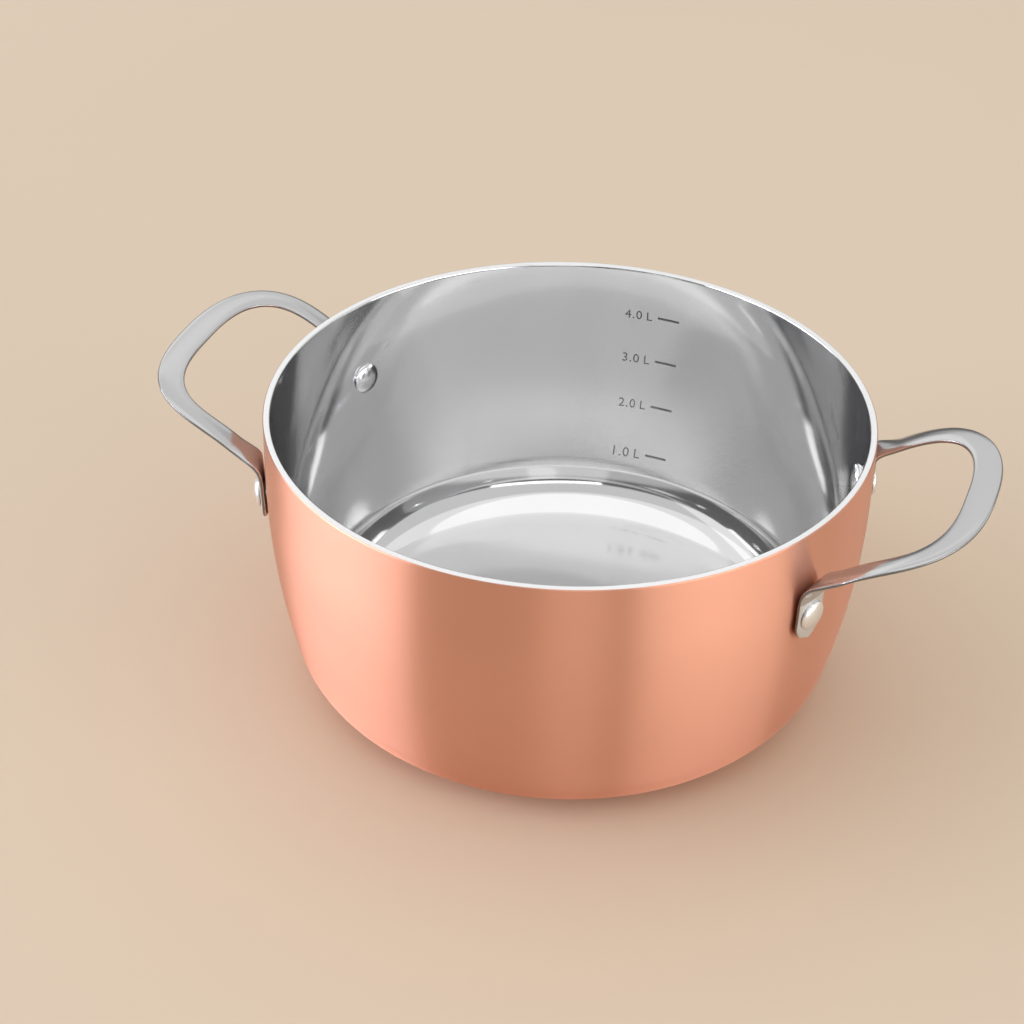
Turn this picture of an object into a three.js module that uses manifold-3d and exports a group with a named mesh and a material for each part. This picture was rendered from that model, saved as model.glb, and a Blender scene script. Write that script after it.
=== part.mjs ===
// A cooking pot with two loop handles, 24 cm across inside. The body is drawn from three bonded layers:
// copper outside, an aluminium core and a steel lining. Two bent steel strips are the handles, and two
// rivets hold each of them. Millimetres, +Z up. The origin is the middle of the base, on the surface that
// the pot stands on. The handles point along +X and -X.
import * as THREE from "three";
import { mergeVertices } from "three/addons/utils/BufferGeometryUtils.js";
import Module from "manifold-3d";

const wasm = await Module();
wasm.setup();

// Pot body
const insideDiameter = 240; // across the inside of the rim
const potHeight = 122; // from the surface it stands on to the top of the lip
const straightHeight = 25; // upright part of the wall below the lip
const wallBowRadius = 316; // bow of the wall below the upright part, seen from the side
const cornerRadius = 27.5; // between the bowed wall and the flat base
const copperThickness = 0.3;
const coreThickness = 2.1;
const liningThickness = 0.5;
const bondGap = 0.05; // bond between two layers
const outerLipChamfer = 0.6; // dresses the outer edge of the lip
const innerLipChamfer = 0.4; // dresses the inner edge of the lip

// Handles
const handleSpan = 98; // between the middles of a handle's two legs
const handleReach = 49.5; // from the wall to the outermost edge of the loop
const loopDepth = 33.5; // from the middle of the grip back to where the legs run straight
const loopSquareness = 2.65; // 2 would make the loop an ellipse, more makes it squarer
const stripThickness = 2.5;
const gripWidth = 11.8; // strip width at the grip
const legWidth = 10.4; // strip width along the legs
const footWidth = 15; // strip width where it lies on the wall
const gripSlope = 8; // degrees above level at the outer end of the loop
const archRadius = 96; // the strip is bent to this radius between the neck and the grip
const neckReach = 4; // from the wall to where a leg starts to turn down
const legRise = 20.5; // from the rivet up to where a leg starts to turn down
const footMargin = 1.3; // flat part of a foot above its rivet's head
const footDrop = 3.5; // from the rivet down to where a foot starts to round off
const neckFullness = 0.5; // how squarely a leg turns down into its foot
const edgeSoftness = 0.45; // 0 gives the strip square edges, 1 an oval section

// Rivets
const rivetHeight = 84.8; // above the surface that the pot stands on
const shankRadius = 3;
const shankClearance = 0.3;
const outerHeadRadius = 6.2;
const outerHeadHeight = 2.5;
const innerHeadRadius = 6.8;
const innerHeadHeight = 2.4;
const seatGap = 0.3; // between pieces that bear on each other

// Facets
const turnSegments = 56;
const cornerSteps = 5;
const bowSteps = 4;
const loopSteps = 14;
const legSteps = 2;
const neckSteps = 6;
const footEndSteps = 4;
const sectionPoints = 12;
const rivetSegments = 16;
const domeSteps = 4;
const weldDistance = 1e-4; // corners closer than this are one corner

// Derived sizes of the body
const wallThickness = copperThickness + coreThickness + liningThickness + 2 * bondGap;
const outerRadius = insideDiameter / 2 + wallThickness;
const bowTop = potHeight - straightHeight;
const bowCentreRadius = outerRadius - wallBowRadius;
const centresRise = bowTop - cornerRadius;
const baseRadius = bowCentreRadius + Math.sqrt((wallBowRadius - cornerRadius) ** 2 - centresRise ** 2);
const turnover = Math.asin(centresRise / (wallBowRadius - cornerRadius)); // wall slope where bow meets corner

const copper = new THREE.MeshStandardMaterial({ color: 0xcf8059, roughness: 0.32, metalness: 1 });
const aluminium = new THREE.MeshStandardMaterial({ color: 0xe6e6e6, roughness: 0.45, metalness: 1 });
const polishedSteel = new THREE.MeshStandardMaterial({ color: 0xc4c4c4, roughness: 0.12, metalness: 1 });
const satinSteel = new THREE.MeshStandardMaterial({ color: 0xc6c6c9, roughness: 0.35, metalness: 1 });
const rivetSteel = new THREE.MeshStandardMaterial({ color: 0xd2d2d4, roughness: 0.2, metalness: 1 });

// Turns a closed three.js geometry into a solid that can be cut.
function toSolid(geometry) {
  const bare = geometry.index ? geometry.toNonIndexed() : geometry.clone();
  bare.deleteAttribute("normal");
  bare.deleteAttribute("uv");
  const merged = mergeVertices(bare, weldDistance);
  const corners = merged.index.array;
  const kept = [];
  for (let i = 0; i < corners.length; i += 3) {
    const [a, b, c] = corners.slice(i, i + 3);
    if (a !== b && b !== c && c !== a) kept.push(a, b, c);
  }
  const mesh = new wasm.Mesh({
    numProp: 3,
    vertProperties: new Float32Array(merged.attributes.position.array),
    triVerts: new Uint32Array(kept),
  });
  return new wasm.Manifold(mesh);
}

function toGeometry(solid) {
  const mesh = solid.getMesh();
  const geometry = new THREE.BufferGeometry();
  geometry.setAttribute("position", new THREE.BufferAttribute(new Float32Array(mesh.vertProperties), 3));
  geometry.setIndex(new THREE.BufferAttribute(new Uint32Array(mesh.triVerts), 1));
  geometry.computeVertexNormals();
  return geometry;
}

// A geometry turned about +Z, from a closed list of [radius, height] points.
function turned(points, segments) {
  const profile = points.map(([radius, height]) => new THREE.Vector2(radius, height));
  return new THREE.LatheGeometry(profile, segments).rotateX(Math.PI / 2);
}

// Outside of the wall at a height on its bowed or upright part: radius, and lean from upright.
function wallAt(height) {
  const below = Math.max(0, bowTop - height);
  const lean = Math.asin(below / wallBowRadius);
  return { radius: bowCentreRadius + wallBowRadius * Math.cos(lean), lean };
}

// The most that a flat facet of the wall lies inside its true curve.
const turnDip = outerRadius * (1 - Math.cos(Math.PI / turnSegments));
const bowDip = wallBowRadius * (1 - Math.cos(turnover / bowSteps / 2));
const facetDip = turnDip + bowDip;

// Section line of the body at a depth under its outer surface, from the axis out to the top of the bow.
function sectionLine(depth) {
  const points = [[0, depth]];
  for (let i = 0; i <= cornerSteps; i++) {
    const angle = turnover + (1 - i / cornerSteps) * (Math.PI / 2 - turnover);
    const radius = cornerRadius - depth;
    points.push([baseRadius + radius * Math.cos(angle), cornerRadius - radius * Math.sin(angle)]);
  }
  for (let i = 1; i <= bowSteps; i++) {
    const angle = turnover * (1 - i / bowSteps);
    const radius = wallBowRadius - depth;
    points.push([bowCentreRadius + radius * Math.cos(angle), bowTop - radius * Math.sin(angle)]);
  }
  return points;
}

// Height of the dressed lip at a depth under the outer surface.
function lipHeight(depth) {
  const outerDrop = Math.max(0, outerLipChamfer - depth);
  const innerDrop = Math.max(0, depth - (wallThickness - innerLipChamfer));
  return potHeight - outerDrop - innerDrop;
}

// One layer of the body, between two depths under the outer surface.
function layer(outerDepth, innerDepth) {
  const lipBreaks = [outerLipChamfer, wallThickness - innerLipChamfer];
  const inside = lipBreaks.filter((depth) => depth > outerDepth && depth < innerDepth);
  const lip = [outerDepth, ...inside, innerDepth].map((depth) => [outerRadius - depth, lipHeight(depth)]);
  const points = [...sectionLine(outerDepth), ...lip, ...sectionLine(innerDepth).reverse()];
  return toSolid(turned(points, turnSegments));
}

// Rivets: each axis stands square on the wall and passes through the middle of a handle's foot.
const wallAtRivet = wallAt(rivetHeight);
const footOffset = seatGap + stripThickness / 2; // from the wall to the middle of the strip
const footCircle = wallAtRivet.radius + footOffset * Math.cos(wallAtRivet.lean);
const footAngle = Math.asin(handleSpan / 2 / footCircle); // each side of a handle's centre line
const footAngles = [-footAngle, footAngle];
const outward = (angle) => new THREE.Vector3(
  Math.cos(wallAtRivet.lean) * Math.cos(angle),
  Math.cos(wallAtRivet.lean) * Math.sin(angle),
  -Math.sin(wallAtRivet.lean),
);
const rivetPoint = (angle) => new THREE.Vector3(
  wallAtRivet.radius * Math.cos(angle),
  wallAtRivet.radius * Math.sin(angle),
  rivetHeight,
);

function alignToRivet(object, angle) {
  object.position.copy(rivetPoint(angle));
  object.quaternion.setFromUnitVectors(new THREE.Vector3(0, 0, 1), outward(angle));
  object.updateMatrix();
  return object;
}

// The hole for one rivet. It reaches well past the wall on one side and past a foot on the other.
function rivetHole(angle) {
  const radius = shankRadius + shankClearance;
  const reach = 2 * (wallThickness + footOffset + stripThickness);
  const hole = new THREE.CylinderGeometry(radius, radius, 2 * reach, rivetSegments).rotateX(Math.PI / 2);
  return toSolid(hole.applyMatrix4(alignToRivet(new THREE.Object3D(), angle).matrix));
}

// Section line of a domed head from its crown on the axis to its rim, on a seat at a given height.
function domeLine(radius, height, seat) {
  const points = [];
  for (let i = 0; i <= domeSteps; i++) {
    const angle = (i / domeSteps) * (Math.PI / 2);
    points.push([radius * Math.sin(angle), seat + height * Math.cos(angle)]);
  }
  return points;
}

// A rivet about +Z, with its zero at the outside of the pot's wall. The inner head clears the hollow wall.
function rivetGeometry() {
  const innerRadius = wallAtRivet.radius - wallThickness;
  const hollow = innerRadius - Math.sqrt(innerRadius ** 2 - innerHeadRadius ** 2);
  const innerSeat = -wallThickness - hollow - facetDip - seatGap;
  const outerSeat = footOffset + stripThickness / 2 + seatGap;
  const innerDome = domeLine(innerHeadRadius, -innerHeadHeight, innerSeat);
  const outerDome = domeLine(outerHeadRadius, outerHeadHeight, outerSeat).reverse();
  const shank = [[shankRadius, innerSeat], [shankRadius, outerSeat]];
  return turned([...innerDome, ...shank, ...outerDome], rivetSegments);
}

// Handle: the middle line of the strip as stations from the grip to the end of one foot, on the side
// where y is positive, for the handle that points along +X. Each station has a place, the strip's width
// there and the direction that the width is measured in.
const gripX = outerRadius + handleReach - gripWidth / 2; // middle of the strip at the end of the loop
const loopX = gripX - loopDepth; // where the legs run straight
const neckX = outerRadius + neckReach;
const gripSine = Math.sin(THREE.MathUtils.degToRad(gripSlope));
const slopeAt = (x) => Math.asin(gripSine + (gripX - x) / archRadius);
const dropAt = (x) => archRadius * (Math.cos(slopeAt(gripX)) - Math.cos(slopeAt(x)));
const gripZ = rivetHeight + legRise + dropAt(neckX);
const onArch = (x, y) => new THREE.Vector3(x, y, gripZ - dropAt(x));

// Direction across the strip on the arched part, from the plan direction square to the middle line.
function acrossArch(planX, planY, x) {
  return new THREE.Vector3(planX, planY, planX * Math.tan(slopeAt(x)));
}

function loopStations() {
  const halfSpan = handleSpan / 2;
  const stations = [];
  for (let i = 0; i <= loopSteps; i++) {
    const angle = (i / loopSteps) * (Math.PI / 2);
    const alongX = Math.cos(angle) / loopDepth;
    const alongY = Math.sin(angle) / halfSpan;
    const reach = (alongX ** loopSquareness + alongY ** loopSquareness) ** (-1 / loopSquareness);
    const x = loopX + reach * Math.cos(angle);
    const y = reach * Math.sin(angle);
    const normalX = (reach * alongX) ** (loopSquareness - 1) / loopDepth;
    const normalY = (reach * alongY) ** (loopSquareness - 1) / halfSpan;
    const share = (1 - Math.cos(2 * angle)) / 2;
    const width = THREE.MathUtils.lerp(gripWidth, legWidth, share);
    stations.push({ at: onArch(x, y), across: acrossArch(normalX, normalY, x), width });
  }
  return stations;
}

function legStations() {
  const across = new THREE.Vector3(0, 1, 0);
  const stations = [];
  for (let i = 1; i <= legSteps; i++) {
    const x = THREE.MathUtils.lerp(loopX, neckX, i / legSteps);
    stations.push({ at: onArch(x, handleSpan / 2), across, width: legWidth });
  }
  return stations;
}

const footTangent = new THREE.Vector3(-Math.sin(footAngle), Math.cos(footAngle), 0);
const footDown = new THREE.Vector3().crossVectors(footTangent, outward(footAngle)).normalize();
const footMiddle = rivetPoint(footAngle).addScaledVector(outward(footAngle), footOffset);
const onFoot = (below) => footMiddle.clone().addScaledVector(footDown, below);

// The neck turns a leg down on to the wall and twists it square to the wall.
function neckStations() {
  const start = onArch(neckX, handleSpan / 2);
  const end = onFoot(-outerHeadRadius - footMargin);
  const pull = neckFullness * start.distanceTo(end);
  const slope = slopeAt(neckX);
  const legDirection = new THREE.Vector3(-Math.cos(slope), 0, -Math.sin(slope));
  const curve = new THREE.CubicBezierCurve3(
    start,
    start.clone().addScaledVector(legDirection, pull),
    end.clone().addScaledVector(footDown, -pull),
    end,
  );
  const stations = [];
  for (let i = 1; i <= neckSteps; i++) {
    const along = i / neckSteps;
    const turn = THREE.MathUtils.smoothstep(along, 0, 1);
    const across = new THREE.Vector3(0, 1, 0).lerp(footTangent, turn);
    const width = THREE.MathUtils.lerp(legWidth, footWidth, turn);
    stations.push({ at: curve.getPoint(along), across, width });
  }
  return stations;
}

// A foot runs straight down past its rivet and ends in a half circle, cut off just short of its last point.
function footStations() {
  const radius = footWidth / 2;
  const stations = [];
  for (let i = 0; i <= footEndSteps; i++) {
    const angle = (i / (footEndSteps + 0.5)) * (Math.PI / 2);
    const at = onFoot(footDrop + radius * Math.sin(angle));
    stations.push({ at, across: footTangent, width: footWidth * Math.cos(angle) });
  }
  return stations;
}

// Both halves of the strip, from the foot where y is positive to the other foot.
function stripStations() {
  const half = [...loopStations(), ...legStations(), ...neckStations(), ...footStations()];
  const mirrored = half.slice(1).map(({ at, across, width }) => ({
    at: new THREE.Vector3(at.x, -at.y, at.z),
    across: new THREE.Vector3(across.x, -across.y, across.z),
    width,
  }));
  return [...half.reverse(), ...mirrored];
}

// The strip's section, one wide and one thick: flat faces with softly rounded edges.
function stripSection() {
  const soften = (share) => (Math.sign(share) * Math.abs(share) ** edgeSoftness) / 2;
  const corners = [];
  for (let i = 0; i < sectionPoints; i++) {
    const angle = ((i + 0.5) / sectionPoints) * 2 * Math.PI;
    corners.push(new THREE.Vector2(soften(Math.cos(angle)), soften(Math.sin(angle))));
  }
  return new THREE.Shape(corners);
}

// At each station: the place, the strip's width as a vector and its thickness as a vector.
function stripFrames(stations) {
  const last = stations.length - 1;
  return stations.map(({ at, across, width }, i) => {
    const before = stations[Math.max(0, i - 1)].at;
    const after = stations[Math.min(last, i + 1)].at;
    const along = after.clone().sub(before).normalize();
    const wide = across.clone().addScaledVector(along, -across.dot(along)).setLength(width);
    const thick = along.clone().cross(wide).setLength(stripThickness);
    return { at, wide, thick };
  });
}

// The section is extruded straight, one step for each station, and then laid along the stations.
function handleSolid() {
  const frames = stripFrames(stripStations());
  const steps = frames.length - 1;
  const strip = new THREE.ExtrudeGeometry(stripSection(), { depth: steps, steps, bevelEnabled: false });
  const position = strip.attributes.position;
  const point = new THREE.Vector3();
  for (let i = 0; i < position.count; i++) {
    const { at, wide, thick } = frames[Math.round(position.getZ(i))];
    point.copy(at);
    point.addScaledVector(wide, position.getX(i));
    point.addScaledVector(thick, position.getY(i));
    position.setXYZ(i, point.x, point.y, point.z);
  }
  return footAngles.reduce((solid, angle) => solid.subtract(rivetHole(angle)), toSolid(strip));
}

// Assembly
const pot = new THREE.Group();

function place(name, geometry, material, parent = pot) {
  const mesh = new THREE.Mesh(geometry, material);
  mesh.name = name;
  parent.add(mesh);
  return mesh;
}

// Half a turn brings the left handle's first foot to the rear.
const sides = [
  { side: "right", turn: 0, feet: ["front", "rear"] },
  { side: "left", turn: Math.PI, feet: ["rear", "front"] },
];
const rivetAngles = sides.flatMap(({ turn }) => footAngles.map((angle) => turn + angle));

const layers = [
  { name: "copper_outer_shell", thickness: copperThickness, material: copper },
  { name: "aluminium_core", thickness: coreThickness, material: aluminium },
  { name: "steel_inner_liner", thickness: liningThickness, material: polishedSteel },
];
let layerDepth = 0;
for (const { name, thickness, material } of layers) {
  const whole = layer(layerDepth, layerDepth + thickness);
  const drilled = rivetAngles.reduce((solid, angle) => solid.subtract(rivetHole(angle)), whole);
  place(name, toGeometry(drilled), material);
  layerDepth += thickness + bondGap;
}

const handle = toGeometry(handleSolid());
const rivet = rivetGeometry();
for (const { side, turn, feet } of sides) {
  const group = new THREE.Group();
  group.rotation.z = turn;
  pot.add(group);
  place(`${side}_handle`, handle, satinSteel, group);
  feet.forEach((foot, i) => {
    alignToRivet(place(`${side}_${foot}_rivet`, rivet, rivetSteel, group), footAngles[i]);
  });
}

export default pot;
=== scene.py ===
"""Looks of a two-handled copper cooking pot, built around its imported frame. Blender units are metres."""

import math

import bmesh
import bpy
from mathutils import Matrix, Vector


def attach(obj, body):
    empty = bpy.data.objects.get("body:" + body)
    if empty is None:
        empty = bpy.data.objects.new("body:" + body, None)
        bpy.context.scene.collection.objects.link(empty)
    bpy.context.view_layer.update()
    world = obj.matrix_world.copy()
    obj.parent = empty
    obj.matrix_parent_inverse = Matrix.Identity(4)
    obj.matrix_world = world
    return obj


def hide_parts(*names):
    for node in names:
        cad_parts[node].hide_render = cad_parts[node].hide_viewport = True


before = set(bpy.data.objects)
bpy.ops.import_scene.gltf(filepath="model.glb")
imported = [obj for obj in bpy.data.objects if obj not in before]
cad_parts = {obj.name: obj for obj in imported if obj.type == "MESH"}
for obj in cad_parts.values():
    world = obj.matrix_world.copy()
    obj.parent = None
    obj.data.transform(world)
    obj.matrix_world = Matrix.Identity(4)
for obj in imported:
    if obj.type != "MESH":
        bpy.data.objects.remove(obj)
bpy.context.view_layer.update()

MM = 0.001

# Body of the pot, a sheet of three layers
OUTER_RADIUS = 123.0 * MM
POT_HEIGHT = 122.0 * MM
STRAIGHT_HEIGHT = 25.0 * MM
BOW_RADIUS = 316.0 * MM
CORNER_RADIUS = 27.5 * MM
COPPER_THICKNESS = 0.3 * MM
CORE_THICKNESS = 2.1 * MM
LINING_THICKNESS = 0.5 * MM
BOND_GAP = 0.05 * MM
OUTER_LIP_RADIUS = 0.6 * MM
INNER_LIP_RADIUS = 0.7 * MM

# Handles, bent from a flat strip
HANDLE_SPAN = 98.0 * MM
HANDLE_REACH = 49.5 * MM
LOOP_DEPTH = 33.5 * MM
LOOP_SQUARENESS = 2.65
STRIP_THICKNESS = 2.5 * MM
GRIP_WIDTH = 11.8 * MM
LEG_WIDTH = 10.4 * MM
FOOT_WIDTH = 15.0 * MM
GRIP_SLOPE = math.radians(8)
ARCH_RADIUS = 96.0 * MM
NECK_REACH = 4.0 * MM
LEG_RISE = 20.5 * MM
FOOT_MARGIN = 1.3 * MM
FOOT_DROP = 3.5 * MM
NECK_FULLNESS = 0.5
STRIP_EDGE_RADIUS = 0.8 * MM
MOST_EDGE = 0.9  # of half the strip's width, where a foot narrows to its tip
STRIP_CROWN = 0.4 * MM
CROWN_POWER = 3
FOOT_TIP = 0.3  # of a step is left flat at the tip of a foot

# Rivets
RIVET_HEIGHT = 84.8 * MM
SHANK_RADIUS = 3.0 * MM
OUTER_HEAD_RADIUS = 6.2 * MM
OUTER_HEAD_HEIGHT = 2.5 * MM
INNER_HEAD_RADIUS = 6.8 * MM
INNER_HEAD_HEIGHT = 2.4 * MM
HEAD_LAND = 0.35 * MM
SEAT_GAP = 0.3 * MM

# Litre marks on the inside of the wall
MARK_LITRES = (1, 2, 3, 4)
MARK_ANGLE = math.radians(87.1)
TICK_LENGTH = 10.0 * MM
TICK_THICKNESS = 1.0 * MM
MARK_GAP = 2.7 * MM
MARK_TEXT_WIDTH = 12.4 * MM
MARK_SINK = 0.02 * MM
MARK_LIFT = 0.1 * MM
LETTER_SPACING = 1.13
WORD_SPACING = 0.6
LETTER_DEPTH = 0.01  # of the font's size
FILL_STEP = 0.05 * MM
TOP_MARK_GREY = 0.19  # grey of the top mark
LOWEST_MARK_GREY = 0.36  # grey of the lowest mark
MARK_MOTTLE = 0.9  # the darkest grey in a mark, of its lightest

# Stage
FLOOR_REACH = 16.0
FLOOR_GAP = 0.1 * MM
FLOOR_CELLS = 8
CAMERA_PLACE = Vector((0.2460, -0.7628, 0.6232))
CAMERA_AIM = Vector((-0.0260, 0.0060, 0.0610))
CAMERA_ROLL = math.radians(1.06)
CAMERA_LENS = 82.65
STUDIO_RADIUS = 5.0
HORIZON_GREY = 0.12
SKY_GREY = 0.70
SKY_AZIMUTH = 180
SKY_TILT = 6
FADE_START = math.radians(24)
FADE_END = math.radians(27)
DAYLIGHT = (1.0, 1.0, 1.0)
COOL_DAYLIGHT = (0.96, 0.98, 1.14)

# Steps along the curves
TURN_SEGMENTS = 192
CORNER_STEPS = 20
BOW_STEPS = 16
LIP_STEPS = 6
LOOP_STEPS = 48
LEG_STEPS = 6
NECK_STEPS = 24
FOOT_STEPS = 4
FOOT_END_STEPS = 14
FACE_STEPS = 10
EDGE_STEPS = 6
EDGE_SHADE_START = 2  # steps of a strip's rounded edge, from each face, that keep the face's finish; the steps between them get a painted dark reflection
RIVET_SEGMENTS = 48
DOME_STEPS = 14
TICK_STEPS = 10
EDGE_RING = 0.4 * MM  # a flat face ends in a ring this close to a rounded edge, to keep its shading flat
SHARP_ANGLE = math.radians(40)
LEVEL = 0.93  # upward share of the normal, from which a face belongs to the base

# Grain of the materials
DRIFT_SCALE = 14.0
DRIFT_DETAIL = 3.0
DRIFT_RANGE = (0.35, 0.65)
GRAIN_DETAIL = 4.0
GRAIN_RANGE = (0.3, 0.7)
GRAIN_DEPTH = 0.02 * MM
RINGS = (6.0, 6.0, 2500.0)  # runs round the pot
SPECKLED = (2500.0, 2500.0, 2500.0)
BROAD = (120.0, 120.0, 120.0)
UPRIGHT = 0.25  # of a turn, from grain that runs round the pot to light smeared up its wall

# Derived sizes
WALL = COPPER_THICKNESS + CORE_THICKNESS + LINING_THICKNESS + 2 * BOND_GAP
CORE_DEPTH = COPPER_THICKNESS + BOND_GAP
LINING_DEPTH = WALL - LINING_THICKNESS
BOW_TOP = POT_HEIGHT - STRAIGHT_HEIGHT
BOW_CENTRE = OUTER_RADIUS - BOW_RADIUS
CENTRES_RISE = BOW_TOP - CORNER_RADIUS
BASE_RADIUS = BOW_CENTRE + math.sqrt((BOW_RADIUS - CORNER_RADIUS) ** 2 - CENTRES_RISE**2)
TURNOVER = math.asin(CENTRES_RISE / (BOW_RADIUS - CORNER_RADIUS))
FOOT_OFFSET = SEAT_GAP + STRIP_THICKNESS / 2
CAMERA_SIDE = math.atan2(CAMERA_PLACE.y, CAMERA_PLACE.x)


def lerp(start, end, share):
    return start + (end - start) * share


def smooth(share):
    return share * share * (3 - 2 * share)


# Materials


def metal(name, tones, roughness, grain, bump=0.0, metallic=1.0, anisotropy=0.0):
    """A metal whose tone drifts between two colours, with fine grain in its roughness and bump."""
    material = bpy.data.materials.new(name)
    material.use_nodes = True
    nodes = material.node_tree.nodes
    links = material.node_tree.links
    shader = nodes["Principled BSDF"]
    shader.inputs["Metallic"].default_value = metallic
    place = nodes.new("ShaderNodeTexCoord")
    if anisotropy:
        shader.inputs["Anisotropic"].default_value = anisotropy
        shader.inputs["Anisotropic Rotation"].default_value = UPRIGHT
        around = nodes.new("ShaderNodeTangent")
        around.direction_type = "RADIAL"
        around.axis = "Z"
        links.new(around.outputs["Tangent"], shader.inputs["Tangent"])

    drift = nodes.new("ShaderNodeTexNoise")
    drift.inputs["Scale"].default_value = DRIFT_SCALE
    drift.inputs["Detail"].default_value = DRIFT_DETAIL
    links.new(place.outputs["Object"], drift.inputs["Vector"])
    tone = nodes.new("ShaderNodeValToRGB")
    for stop, position, colour in zip(tone.color_ramp.elements, DRIFT_RANGE, tones):
        stop.position = position
        stop.color = (*colour, 1.0)
    links.new(drift.outputs["Fac"], tone.inputs["Fac"])
    links.new(tone.outputs["Color"], shader.inputs["Base Color"])

    stretch = nodes.new("ShaderNodeMapping")
    stretch.inputs["Scale"].default_value = grain
    links.new(place.outputs["Object"], stretch.inputs["Vector"])
    lines = nodes.new("ShaderNodeTexNoise")
    lines.inputs["Scale"].default_value = 1.0
    lines.inputs["Detail"].default_value = GRAIN_DETAIL
    links.new(stretch.outputs["Vector"], lines.inputs["Vector"])
    gloss = nodes.new("ShaderNodeMapRange")
    gloss.inputs["From Min"].default_value = GRAIN_RANGE[0]
    gloss.inputs["From Max"].default_value = GRAIN_RANGE[1]
    gloss.inputs["To Min"].default_value = roughness[0]
    gloss.inputs["To Max"].default_value = roughness[1]
    links.new(lines.outputs["Fac"], gloss.inputs["Value"])
    links.new(gloss.outputs["Result"], shader.inputs["Roughness"])

    relief = nodes.new("ShaderNodeBump")
    relief.inputs["Strength"].default_value = bump
    relief.inputs["Distance"].default_value = GRAIN_DEPTH
    links.new(lines.outputs["Fac"], relief.inputs["Height"])
    links.new(relief.outputs["Normal"], shader.inputs["Normal"])
    return material


def matt(name, tones, roughness, scale):
    """A dull material whose tone is mottled between two colours."""
    material = bpy.data.materials.new(name)
    material.use_nodes = True
    nodes = material.node_tree.nodes
    links = material.node_tree.links
    shader = nodes["Principled BSDF"]
    shader.inputs["Roughness"].default_value = roughness
    place = nodes.new("ShaderNodeTexCoord")
    mottle = nodes.new("ShaderNodeTexNoise")
    mottle.inputs["Scale"].default_value = scale
    links.new(place.outputs["Object"], mottle.inputs["Vector"])
    tone = nodes.new("ShaderNodeValToRGB")
    for stop, colour in zip(tone.color_ramp.elements, tones):
        stop.color = (*colour, 1.0)
    links.new(mottle.outputs["Fac"], tone.inputs["Fac"])
    links.new(tone.outputs["Color"], shader.inputs["Base Color"])
    return material


def grey(first, second):
    """Two neutral tones."""
    return (first, first, first), (second, second, second)


copper_tones = ((0.87, 0.44, 0.315), (0.84, 0.42, 0.30))
sand_tones = ((0.63, 0.51, 0.38), (0.66, 0.535, 0.40))
copper = metal("copper", copper_tones, roughness=(0.33, 0.37), grain=RINGS, bump=0.05, anisotropy=1.0)
ground_edge = metal("ground_aluminium", grey(0.92, 0.88), roughness=(0.35, 0.45), grain=RINGS, bump=0.1)
mirror_steel = metal(
    "polished_steel", grey(0.78, 0.75), roughness=(0.05, 0.09), grain=RINGS, bump=0.02, metallic=0.95
)
turned_steel = metal("turned_steel", grey(0.78, 0.75), roughness=(0.13, 0.17), grain=BROAD, metallic=0.95)
satin_steel = metal("satin_steel", grey(0.53, 0.51), roughness=(0.14, 0.18), grain=BROAD, metallic=0.9)
# Dark grey painted on the middle of the handles' rounded edges: a painted dark reflection, standing in for
# the dark line that the surroundings leave there
edge_shade_steel = metal("edge_shade_steel", grey(0.26, 0.22), roughness=(0.30, 0.40), grain=SPECKLED, bump=0.02)
rivet_steel = metal("rivet_steel", grey(0.84, 0.80), roughness=(0.15, 0.22), grain=SPECKLED, bump=0.08)
# A lighter grey on the rivets' outer heads than on their inner heads: a painted highlight, standing in for
# the bright reflection those heads show
head_highlight_steel = metal("head_highlight_steel", grey(0.90, 0.87), roughness=(0.30, 0.36), grain=BROAD)
# A lighter grey on the handles' feet than on the rest of the handle: a painted highlight, standing in for
# the bright reflection the feet show
foot_highlight_steel = metal("foot_highlight_steel", grey(0.70, 0.68), roughness=(0.45, 0.50), grain=BROAD)
pale_floor = matt("pale_floor", sand_tones, roughness=0.7, scale=3.0)


# Mesh helpers


def add_piece(name, mesh, material, slot, *nodes):
    """Puts a mesh into the scene as a smooth piece that rides on the pot."""
    mesh.polygons.foreach_set("use_smooth", [True] * len(mesh.polygons))
    mesh.set_sharp_from_angle(angle=SHARP_ANGLE)
    mesh.materials.append(material)
    piece = bpy.data.objects.new(name, mesh)
    bpy.context.scene.collection.objects.link(piece)
    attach(piece, "root")
    if nodes:
        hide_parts(*nodes)


def refinish(mesh, material, chosen):
    """Gives another finish to the faces that a test chooses."""
    mesh.materials.append(material)
    for face in mesh.polygons:
        if chosen(face):
            face.material_index = len(mesh.materials) - 1


def mesh_of(name, bm):
    bmesh.ops.recalc_face_normals(bm, faces=bm.faces)
    mesh = bpy.data.meshes.new(name)
    bm.to_mesh(mesh)
    bm.free()
    return mesh


def turned(profile, segments, placing=Matrix.Identity(4)):
    """A closed body turned about +Z from (radius, height) points that start and end on the axis."""
    bm = bmesh.new()
    rings = []
    for radius, height in profile:
        count = segments if radius > 0 else 1
        angles = [2 * math.pi * i / count for i in range(count)]
        places = [Vector((radius * math.cos(a), radius * math.sin(a), height)) for a in angles]
        rings.append([bm.verts.new(placing @ place) for place in places])
    for low, high in zip(rings, rings[1:]):
        for i in range(segments):
            j = (i + 1) % segments
            corners = [low[i % len(low)], low[j % len(low)], high[j % len(high)], high[i % len(high)]]
            bm.faces.new(list(dict.fromkeys(corners)))
    return bm


def add_skin(bm, loops):
    """Adds a closed body through a row of loops with equally many points, capped at both ends."""
    rings = [[bm.verts.new(place) for place in loop] for loop in loops]
    for low, high in zip(rings, rings[1:]):
        for i in range(len(low)):
            j = (i + 1) % len(low)
            bm.faces.new((low[i], low[j], high[j], high[i]))
    bm.faces.new(rings[0])
    bm.faces.new(rings[-1])


# Body


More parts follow.
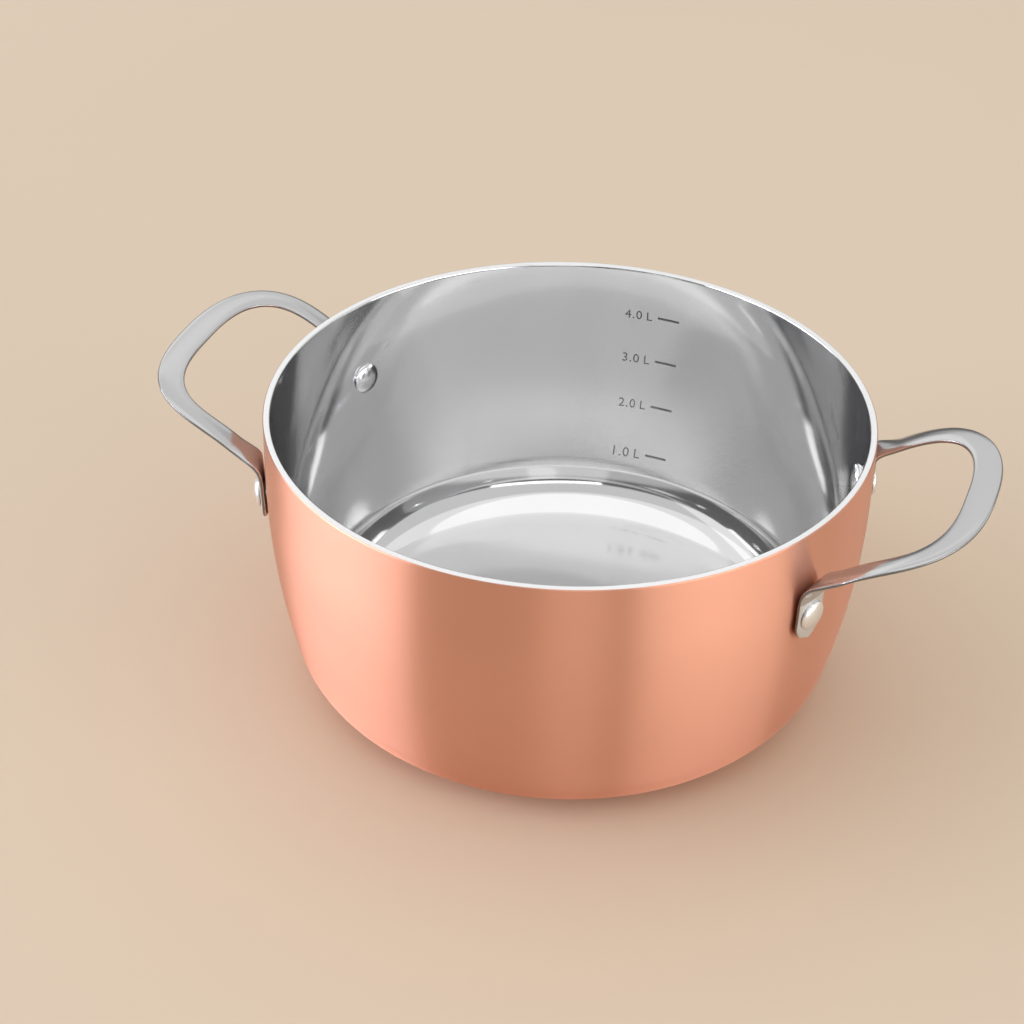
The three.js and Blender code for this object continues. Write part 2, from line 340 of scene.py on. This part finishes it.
def section_line(depth):
    """The body's section at a depth under its outer surface, from the axis to just below the lip."""
    points = [(0.0, depth), (BASE_RADIUS - EDGE_RING, depth)]
    for i in range(CORNER_STEPS + 1):
        angle = lerp(math.pi / 2, TURNOVER, i / CORNER_STEPS)
        radius = CORNER_RADIUS - depth
        points.append((BASE_RADIUS + radius * math.cos(angle), CORNER_RADIUS - radius * math.sin(angle)))
    for i in range(1, BOW_STEPS + 1):
        angle = TURNOVER * (1 - i / BOW_STEPS)
        radius = BOW_RADIUS - depth
        points.append((BOW_CENTRE + radius * math.cos(angle), BOW_TOP - radius * math.sin(angle)))
    points.append((OUTER_RADIUS - depth, lip_height(depth) - EDGE_RING))
    return points


def lip_height(depth):
    """Height of the lip at a depth under the outer surface, with both of its edges rounded."""
    into_outer = max(0.0, OUTER_LIP_RADIUS - depth)
    into_inner = min(INNER_LIP_RADIUS, max(0.0, depth - (WALL - INNER_LIP_RADIUS)))
    outer_drop = OUTER_LIP_RADIUS - math.sqrt(OUTER_LIP_RADIUS**2 - into_outer**2)
    inner_drop = INNER_LIP_RADIUS - math.sqrt(INNER_LIP_RADIUS**2 - into_inner**2)
    return POT_HEIGHT - outer_drop - inner_drop


def layer(outer_depth, inner_depth):
    """One layer of the sheet, between two depths under the outer surface."""
    depths = [lerp(outer_depth, inner_depth, i / LIP_STEPS) for i in range(LIP_STEPS + 1)]
    lip = [(OUTER_RADIUS - depth, lip_height(depth)) for depth in depths]
    return turned(section_line(outer_depth) + lip + section_line(inner_depth)[::-1], TURN_SEGMENTS)


def wall_at(height, depth=0.0):
    """Radius of the wall at a depth under its outer surface, and its lean from upright."""
    if height >= BOW_TOP:
        return OUTER_RADIUS - depth, 0.0
    lean = math.asin((BOW_TOP - height) / (BOW_RADIUS - depth))
    if lean <= TURNOVER:
        return BOW_CENTRE + (BOW_RADIUS - depth) * math.cos(lean), lean
    lean = math.asin((CORNER_RADIUS - height) / (CORNER_RADIUS - depth))
    return BASE_RADIUS + (CORNER_RADIUS - depth) * math.cos(lean), lean


def in_base(face):
    return face.normal.z > LEVEL and face.center.z < CORNER_RADIUS


shell_mesh = mesh_of("copper_shell", layer(0.0, COPPER_THICKNESS))
core_mesh = mesh_of("core", layer(CORE_DEPTH, CORE_DEPTH + CORE_THICKNESS))
lining_mesh = mesh_of("lining", layer(LINING_DEPTH, WALL))
add_piece("copper_shell", shell_mesh, copper, "copper", "copper_outer_shell")
add_piece("core_layer", core_mesh, ground_edge, "aluminium", "aluminium_core")
add_piece("steel_lining", lining_mesh, mirror_steel, "polished_steel", "steel_inner_liner")
refinish(lining_mesh, turned_steel, in_base)


# Litre marks


def fill_heights(litres):
    """Height above the table of the liquid's surface for each volume."""
    height = WALL
    volume = 0.0
    heights = []
    for wanted in litres:
        while volume < wanted * MM:
            volume += math.pi * wall_at(height + FILL_STEP / 2, WALL)[0] ** 2 * FILL_STEP
            height += FILL_STEP
        heights.append(height)
    return heights


def on_wall(along, up, height, lift):
    """A point beside a mark, at distances along and above it, seen from inside the pot."""
    radius, lean = wall_at(height + up, WALL)
    angle = MARK_ANGLE - along / radius
    radius -= lift
    return Vector((radius * math.cos(angle), radius * math.sin(angle), height + up))


def text_mesh(words):
    """Flat letters with a small thickness, from the font that Blender has built in."""
    curve = bpy.data.curves.new(words, "FONT")
    curve.body = words
    curve.space_character = LETTER_SPACING
    curve.space_word = WORD_SPACING
    curve.extrude = LETTER_DEPTH
    letters = bpy.data.objects.new(words, curve)
    bpy.context.scene.collection.objects.link(letters)
    bpy.context.view_layer.update()
    mesh = bpy.data.meshes.new_from_object(letters.evaluated_get(bpy.context.evaluated_depsgraph_get()))
    bpy.data.objects.remove(letters)
    bpy.data.curves.remove(curve)
    return mesh


def mark_mesh(litres, height):
    """The words and the tick of one litre mark, laid on the wall."""
    words = text_mesh(f"{litres}.0 L")
    bm = bmesh.new()
    bm.from_mesh(words)
    left = min(v.co.x for v in bm.verts)
    right = max(v.co.x for v in bm.verts)
    middle = (min(v.co.y for v in bm.verts) + max(v.co.y for v in bm.verts)) / 2
    scale = MARK_TEXT_WIDTH / (right - left)
    end = -TICK_LENGTH / 2 - MARK_GAP
    for v in bm.verts:
        along = end + (v.co.x - right) * scale
        lift = MARK_LIFT if v.co.z > 0 else -MARK_SINK
        v.co = on_wall(along, (v.co.y - middle) * scale, height, lift)
    half = TICK_THICKNESS / 2
    section = ((-half, -MARK_SINK), (half, -MARK_SINK), (half, MARK_LIFT), (-half, MARK_LIFT))
    tick = []
    for i in range(TICK_STEPS + 1):
        along = TICK_LENGTH * (i / TICK_STEPS - 0.5)
        tick.append([on_wall(along, up, height, lift) for up, lift in section])
    add_skin(bm, tick)
    return mesh_of(f"litre_mark_{litres}", bm)


def etched(litres):
    """Finish of a mark, which is darkest at the top and lighter towards the base."""
    share = (litres - MARK_LITRES[0]) / (MARK_LITRES[-1] - MARK_LITRES[0])
    shade = lerp(LOWEST_MARK_GREY, TOP_MARK_GREY, share)
    tones = grey(shade, MARK_MOTTLE * shade)
    return metal(f"etched_mark_{litres}", tones, roughness=(0.35, 0.45), grain=SPECKLED)


for litres, height in zip(MARK_LITRES, fill_heights(MARK_LITRES)):
    add_piece(f"litre_mark_{litres}", mark_mesh(litres, height), etched(litres), "polished_steel")


# Rivets

rivet_radius, rivet_lean = wall_at(RIVET_HEIGHT)
foot_circle = rivet_radius + FOOT_OFFSET * math.cos(rivet_lean)
FOOT_ANGLE = math.asin(HANDLE_SPAN / 2 / foot_circle)


def outward(angle):
    flat = math.cos(rivet_lean)
    return Vector((flat * math.cos(angle), flat * math.sin(angle), -math.sin(rivet_lean)))


def rivet_point(angle):
    return Vector((rivet_radius * math.cos(angle), rivet_radius * math.sin(angle), RIVET_HEIGHT))


def dome_line(radius, height, seat):
    """Section of a domed head from its crown to its seat: a low dome over a short upright land."""
    side = math.copysign(1.0, height)
    rise = height - side * HEAD_LAND
    points = []
    for i in range(DOME_STEPS + 1):
        angle = i / DOME_STEPS * math.pi / 2
        points.append((radius * math.sin(angle), seat + side * HEAD_LAND + rise * math.cos(angle)))
    points.append((radius, seat))
    return points


def rivet_mesh(name, angle):
    inner_radius = rivet_radius - WALL
    hollow = inner_radius - math.sqrt(inner_radius**2 - INNER_HEAD_RADIUS**2)
    inner_seat = -WALL - hollow
    outer_seat = FOOT_OFFSET + STRIP_THICKNESS / 2
    inner_dome = dome_line(INNER_HEAD_RADIUS, -INNER_HEAD_HEIGHT, inner_seat)
    outer_dome = dome_line(OUTER_HEAD_RADIUS, OUTER_HEAD_HEIGHT, outer_seat)
    shank = [(SHANK_RADIUS, inner_seat), (SHANK_RADIUS, outer_seat)]
    turn = outward(angle).to_track_quat("Z", "Y").to_matrix().to_4x4()
    placing = Matrix.Translation(rivet_point(angle)) @ turn
    return mesh_of(name, turned(inner_dome + shank + outer_dome[::-1], RIVET_SEGMENTS, placing))


def outside_wall(face):
    return math.hypot(face.center.x, face.center.y) > rivet_radius


rivet_angles = {
    "right_front_rivet": -FOOT_ANGLE,
    "right_rear_rivet": FOOT_ANGLE,
    "left_front_rivet": math.pi + FOOT_ANGLE,
    "left_rear_rivet": math.pi - FOOT_ANGLE,
}
for node, angle in rivet_angles.items():
    name = node.replace("rivet", "domed_rivet")
    mesh = rivet_mesh(name, angle)
    add_piece(name, mesh, rivet_steel, "rivet_steel", node)
    # the outer heads get the lighter grey of a painted highlight
    refinish(mesh, head_highlight_steel, outside_wall)


# Handles

GRIP_X = OUTER_RADIUS + HANDLE_REACH - GRIP_WIDTH / 2
LOOP_X = GRIP_X - LOOP_DEPTH
NECK_X = OUTER_RADIUS + NECK_REACH


def slope_at(x):
    return math.asin(math.sin(GRIP_SLOPE) + (GRIP_X - x) / ARCH_RADIUS)


def drop_at(x):
    return ARCH_RADIUS * (math.cos(slope_at(GRIP_X)) - math.cos(slope_at(x)))


GRIP_Z = RIVET_HEIGHT + LEG_RISE + drop_at(NECK_X)


def on_arch(x, y):
    return Vector((x, y, GRIP_Z - drop_at(x)))


def loop_stations():
    half_span = HANDLE_SPAN / 2
    stations = []
    for i in range(LOOP_STEPS + 1):
        angle = i / LOOP_STEPS * math.pi / 2
        along_x = math.cos(angle) / LOOP_DEPTH
        along_y = math.sin(angle) / half_span
        reach = (along_x**LOOP_SQUARENESS + along_y**LOOP_SQUARENESS) ** (-1 / LOOP_SQUARENESS)
        x = LOOP_X + reach * math.cos(angle)
        normal_x = (reach * along_x) ** (LOOP_SQUARENESS - 1) / LOOP_DEPTH
        normal_y = (reach * along_y) ** (LOOP_SQUARENESS - 1) / half_span
        across = Vector((normal_x, normal_y, normal_x * math.tan(slope_at(x))))
        width = lerp(GRIP_WIDTH, LEG_WIDTH, (1 - math.cos(2 * angle)) / 2)
        stations.append((on_arch(x, reach * math.sin(angle)), across, width))
    return stations


def leg_stations():
    stations = []
    for i in range(1, LEG_STEPS + 1):
        x = lerp(LOOP_X, NECK_X, i / LEG_STEPS)
        stations.append((on_arch(x, HANDLE_SPAN / 2), Vector((0, 1, 0)), LEG_WIDTH))
    return stations


FOOT_TANGENT = Vector((-math.sin(FOOT_ANGLE), math.cos(FOOT_ANGLE), 0))
FOOT_DOWN = FOOT_TANGENT.cross(outward(FOOT_ANGLE)).normalized()
FOOT_MIDDLE = rivet_point(FOOT_ANGLE) + outward(FOOT_ANGLE) * FOOT_OFFSET


def on_foot(below):
    return FOOT_MIDDLE + FOOT_DOWN * below


def neck_stations():
    """The neck turns a leg down on to the wall and twists it square to the wall."""
    start = on_arch(NECK_X, HANDLE_SPAN / 2)
    end = on_foot(-OUTER_HEAD_RADIUS - FOOT_MARGIN)
    pull = NECK_FULLNESS * (end - start).length
    slope = slope_at(NECK_X)
    first = start + Vector((-math.cos(slope), 0, -math.sin(slope))) * pull
    second = end - FOOT_DOWN * pull
    stations = []
    for i in range(1, NECK_STEPS + 1):
        t = i / NECK_STEPS
        u = 1 - t
        place = start * u**3 + first * 3 * u * u * t + second * 3 * u * t * t + end * t**3
        turn = smooth(t)
        across = Vector((0, 1, 0)).lerp(FOOT_TANGENT, turn)
        stations.append((place, across, lerp(LEG_WIDTH, FOOT_WIDTH, turn)))
    return stations


def foot_stations():
    """A foot runs straight down past its rivet and ends in a half circle."""
    top = -OUTER_HEAD_RADIUS - FOOT_MARGIN
    stations = []
    for i in range(1, FOOT_STEPS):
        stations.append((on_foot(lerp(top, FOOT_DROP, i / FOOT_STEPS)), FOOT_TANGENT, FOOT_WIDTH))
    for i in range(FOOT_END_STEPS + 1):
        angle = i / (FOOT_END_STEPS + FOOT_TIP) * math.pi / 2
        below = FOOT_DROP + FOOT_WIDTH / 2 * math.sin(angle)
        stations.append((on_foot(below), FOOT_TANGENT, FOOT_WIDTH * math.cos(angle)))
    return stations


def strip_section(width):
    """The strip's section: faces that fall away towards rounded edges, as (across, up) points."""
    half_thick = STRIP_THICKNESS / 2
    edge = min(STRIP_EDGE_RADIUS, MOST_EDGE * width / 2)
    flat = width / 2 - edge
    points = []
    for side in (1, -1):
        for i in range(FACE_STEPS + 1):
            share = lerp(1, -1, i / FACE_STEPS)
            rise = half_thick - STRIP_CROWN * abs(share) ** CROWN_POWER
            points.append((side * flat * share, side * rise))
        for i in range(1, EDGE_STEPS):
            angle = math.pi / 2 - i / EDGE_STEPS * math.pi
            rise = (half_thick - STRIP_CROWN) * math.sin(angle)
            points.append((-side * (flat + edge * math.cos(angle)), side * rise))
    return points


def handle_mesh(name, turn):
    half = loop_stations() + leg_stations() + neck_stations() + foot_stations()
    flip = Vector((1, -1, 1))
    mirrored = [(place * flip, across * flip, width) for place, across, width in half[1:]]
    stations = half[::-1] + mirrored
    loops = []
    for i, (place, across, width) in enumerate(stations):
        before = stations[max(0, i - 1)][0]
        after = stations[min(len(stations) - 1, i + 1)][0]
        along = (after - before).normalized()
        wide = (across - along * across.dot(along)).normalized()
        thick = along.cross(wide)
        section = strip_section(width)
        loops.append([turn @ (place + wide * a + thick * b) for a, b in section])
    bm = bmesh.new()
    add_skin(bm, loops)
    return mesh_of(name, bm)


def in_foot(face):
    return face.center.z < RIVET_HEIGHT + OUTER_HEAD_RADIUS + FOOT_MARGIN


# Faces in the middle of a strip's rounded edge, which get the painted dark reflection.
def in_edge_shade(face):
    step = face.index % (FACE_STEPS + EDGE_STEPS) - FACE_STEPS
    return EDGE_SHADE_START <= step < EDGE_STEPS - EDGE_SHADE_START


for side, turn in (("right", 0.0), ("left", math.pi)):
    name = f"{side}_strip_handle"
    mesh = handle_mesh(name, Matrix.Rotation(turn, 3, "Z"))
    add_piece(name, mesh, satin_steel, "satin_steel", f"{side}_handle")
    # the feet get the lighter grey of a painted highlight
    refinish(mesh, foot_highlight_steel, in_foot)
    # the middle of each rounded edge gets a painted dark reflection
    refinish(mesh, edge_shade_steel, in_edge_shade)


# Stage: floor, lights, world and camera


def add_floor():
    bm = bmesh.new()
    bmesh.ops.create_grid(bm, x_segments=FLOOR_CELLS, y_segments=FLOOR_CELLS, size=FLOOR_REACH)
    floor = bpy.data.objects.new("floor", mesh_of("floor", bm))
    floor.location.z = -FLOOR_GAP
    floor.data.materials.append(pale_floor)
    bpy.context.scene.collection.objects.link(floor)


def add_camera():
    data = bpy.data.cameras.new("camera")
    data.lens = CAMERA_LENS
    camera = bpy.data.objects.new("camera", data)
    aim = (CAMERA_AIM - CAMERA_PLACE).to_track_quat("-Z", "Y").to_matrix()
    turn = aim @ Matrix.Rotation(CAMERA_ROLL, 3, "Z")
    camera.matrix_world = Matrix.Translation(CAMERA_PLACE) @ turn.to_4x4()
    bpy.context.scene.collection.objects.link(camera)
    bpy.context.scene.camera = camera


def studio_direction(azimuth, elevation):
    """A direction from the pot, in degrees to the right of the camera's side and above the floor."""
    around = CAMERA_SIDE + math.radians(azimuth)
    up = math.radians(elevation)
    return Vector((math.cos(up) * math.cos(around), math.cos(up) * math.sin(around), math.sin(up)))


def add_softbox(name, shape, azimuth, elevation, spread, radiance, colour=DAYLIGHT):
    """A soft box that faces the pot, with its place and its spread in degrees as seen from the pot."""
    width, height = (2 * STUDIO_RADIUS * math.tan(math.radians(angle) / 2) for angle in spread)
    area = width * height * (math.pi / 4 if shape == "ELLIPSE" else 1.0)
    data = bpy.data.lights.new(name, "AREA")
    data.shape = shape
    data.size = width
    data.size_y = height
    data.energy = radiance * math.pi * area
    data.color = colour
    lamp = bpy.data.objects.new(name, data)
    away = studio_direction(azimuth, elevation)
    lamp.location = away * STUDIO_RADIUS
    lamp.rotation_euler = away.to_track_quat("Z", "Y").to_euler()
    bpy.context.scene.collection.objects.link(lamp)


def add_world():
    """A grey room, dim near a slightly tilted horizon and brighter from mid height up."""
    world = bpy.data.worlds.new("studio")
    world.use_nodes = True
    nodes = world.node_tree.nodes
    links = world.node_tree.links
    place = nodes.new("ShaderNodeTexCoord")
    height = nodes.new("ShaderNodeVectorMath")
    height.operation = "DOT_PRODUCT"
    height.inputs[1].default_value = studio_direction(SKY_AZIMUTH, 90 - SKY_TILT)
    links.new(place.outputs["Generated"], height.inputs[0])
    fade = nodes.new("ShaderNodeMapRange")
    fade.interpolation_type = "SMOOTHSTEP"
    fade.inputs["From Min"].default_value = math.sin(FADE_START)
    fade.inputs["From Max"].default_value = math.sin(FADE_END)
    fade.inputs["To Min"].default_value = HORIZON_GREY
    fade.inputs["To Max"].default_value = SKY_GREY
    links.new(height.outputs["Value"], fade.inputs["Value"])
    links.new(fade.outputs["Result"], nodes["Background"].inputs["Color"])
    bpy.context.scene.world = world


add_floor()
add_camera()
add_world()
add_softbox("top_disc", "ELLIPSE", azimuth=-155, elevation=80, spread=(90, 90), radiance=0.28)
add_softbox("top_middle", "ELLIPSE", azimuth=-70, elevation=87, spread=(62, 62), radiance=0.28)
add_softbox("left_panel", "RECTANGLE", azimuth=-108, elevation=31, spread=(112, 32), radiance=0.3)
add_softbox("right_panel", "RECTANGLE", azimuth=99, elevation=12, spread=(53, 22), radiance=1.0)
add_softbox("back_panel", "RECTANGLE", azimuth=180, elevation=28, spread=(56, 26), radiance=0.3)
add_softbox(
    "left_strip", "ELLIPSE", azimuth=-83, elevation=10, spread=(64, 18), radiance=9.4, colour=COOL_DAYLIGHT
)
add_softbox("right_strip", "ELLIPSE", azimuth=53, elevation=10, spread=(59, 18), radiance=5.5)
add_softbox("front_panel", "ELLIPSE", azimuth=4, elevation=12, spread=(24, 22), radiance=1.3)
add_softbox("front_lamp", "RECTANGLE", azimuth=10, elevation=32.5, spread=(44, 5), radiance=1.7)

bpy.context.scene.view_settings.view_transform = "Standard"
